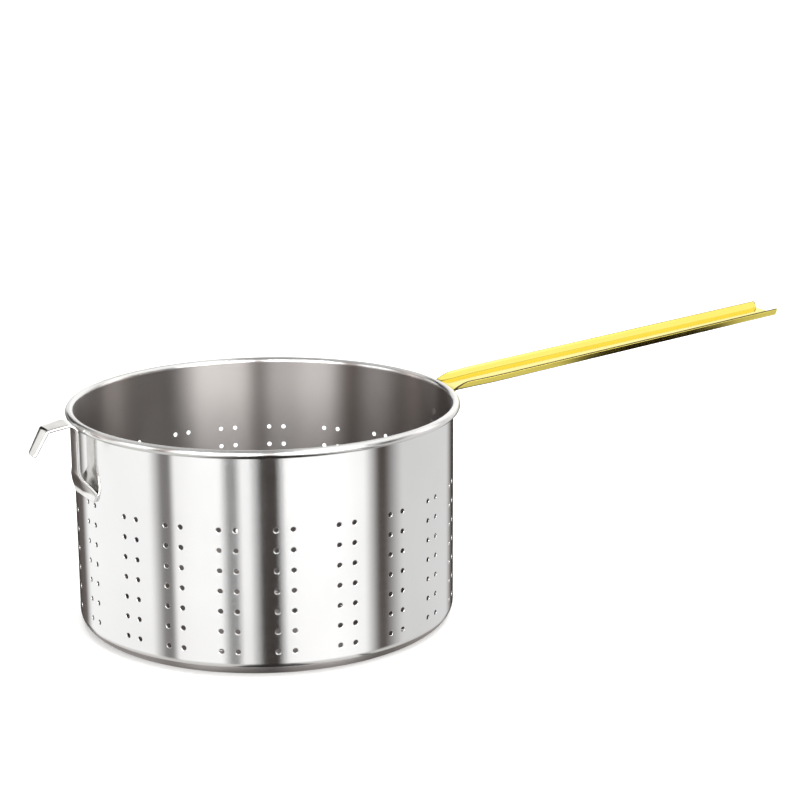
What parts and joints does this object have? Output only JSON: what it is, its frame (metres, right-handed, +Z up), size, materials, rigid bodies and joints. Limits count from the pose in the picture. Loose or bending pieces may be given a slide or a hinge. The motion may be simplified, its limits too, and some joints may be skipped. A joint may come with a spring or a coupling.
{
  "type": "pasta strainer insert",
  "caption": "Steel strainer basket with drain holes in wall and base, a rolled rim, a long brass trough handle and a rest hook that hold it in a cooking pot.",
  "frame": {"origin": "middle of the underside of the basket's base, on the axis of the wall", "axes": "+Z up along the axis of the wall, +X along the handle away from the basket"},
  "size_m": [0.5332, 0.2488, 0.1686],
  "materials": {
    "basket_steel": "satin",
    "handle_brass": "polished",
    "hook_steel": "polished",
    "weld_steel": "satin"
  },
  "bodies": {
    "root": {"basket": "basket_steel", "long_handle": "handle_brass", "rest_hook": "hook_steel", "handle_spot_welds": "weld_steel", "hook_spot_welds": "weld_steel"}
  },
  "joints": []
}
